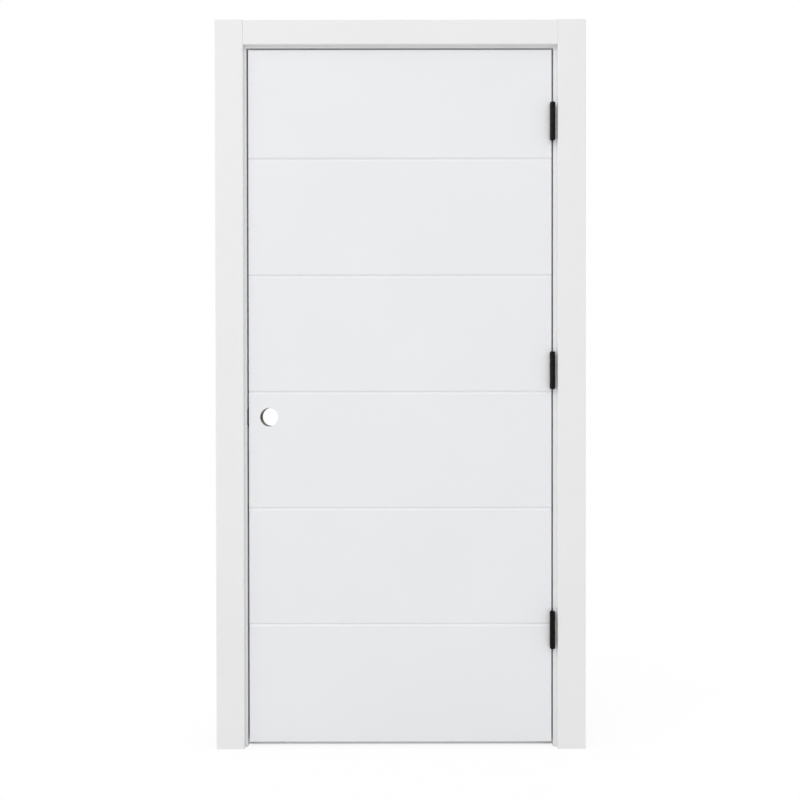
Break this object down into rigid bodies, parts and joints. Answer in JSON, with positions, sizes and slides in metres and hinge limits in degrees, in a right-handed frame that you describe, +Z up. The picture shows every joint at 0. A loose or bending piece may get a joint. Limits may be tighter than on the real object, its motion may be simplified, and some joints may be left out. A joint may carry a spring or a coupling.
{
  "type": "prehung interior door",
  "caption": "White flush door leaf with horizontal V-grooves, bored for a lockset and hung on black butt hinges in a jamb with stops and flat casing on both sides of the wall.",
  "frame": {"origin": "on the outer face of the hinge jamb, at floor level, half-way through the wall", "axes": "+X out of the hinge jamb into the wall beside it, +Y from the side the leaf opens to towards the far side, +Z up"},
  "size_m": [1.081, 0.1482, 2.1285],
  "materials": {
    "trim_paint": "satin white paint on timber",
    "leaf_paint": "satin white paint on fibreboard",
    "raw_core": "raw particle board",
    "black_steel": "satin black"
  },
  "bodies": {
    "frame": {"hinge_jamb": "trim_paint", "latch_jamb": "trim_paint", "head_jamb": "trim_paint", "hinge_stop": "trim_paint", "latch_stop": "trim_paint", "head_stop": "trim_paint", "front_casing_hinge_leg": "trim_paint", "front_casing_latch_leg": "trim_paint", "front_casing_head": "trim_paint", "back_casing_hinge_leg": "trim_paint", "back_casing_latch_leg": "trim_paint", "back_casing_head": "trim_paint", "strike_plate": "black_steel", "top_hinge_jamb_leaf": "black_steel", "top_hinge_pin": "black_steel", "middle_hinge_jamb_leaf": "black_steel", "middle_hinge_pin": "black_steel", "bottom_hinge_jamb_leaf": "black_steel", "bottom_hinge_pin": "black_steel"},
    "door": {"leaf_front_skin": "leaf_paint", "leaf_back_skin": "leaf_paint", "leaf_lock_stile": "leaf_paint", "leaf_hinge_stile": "leaf_paint", "leaf_top_rail": "leaf_paint", "leaf_bottom_rail": "leaf_paint", "leaf_core": "raw_core", "top_hinge_door_leaf": "black_steel", "middle_hinge_door_leaf": "black_steel", "bottom_hinge_door_leaf": "black_steel"}
  },
  "joints": [
    {"name": "door_swing", "type": "hinge", "parent": "frame", "child": "door", "pos_m": [-0.023, -0.068, 1], "axis": [0, 0, 1], "range_deg": [0, 180]}
  ]
}
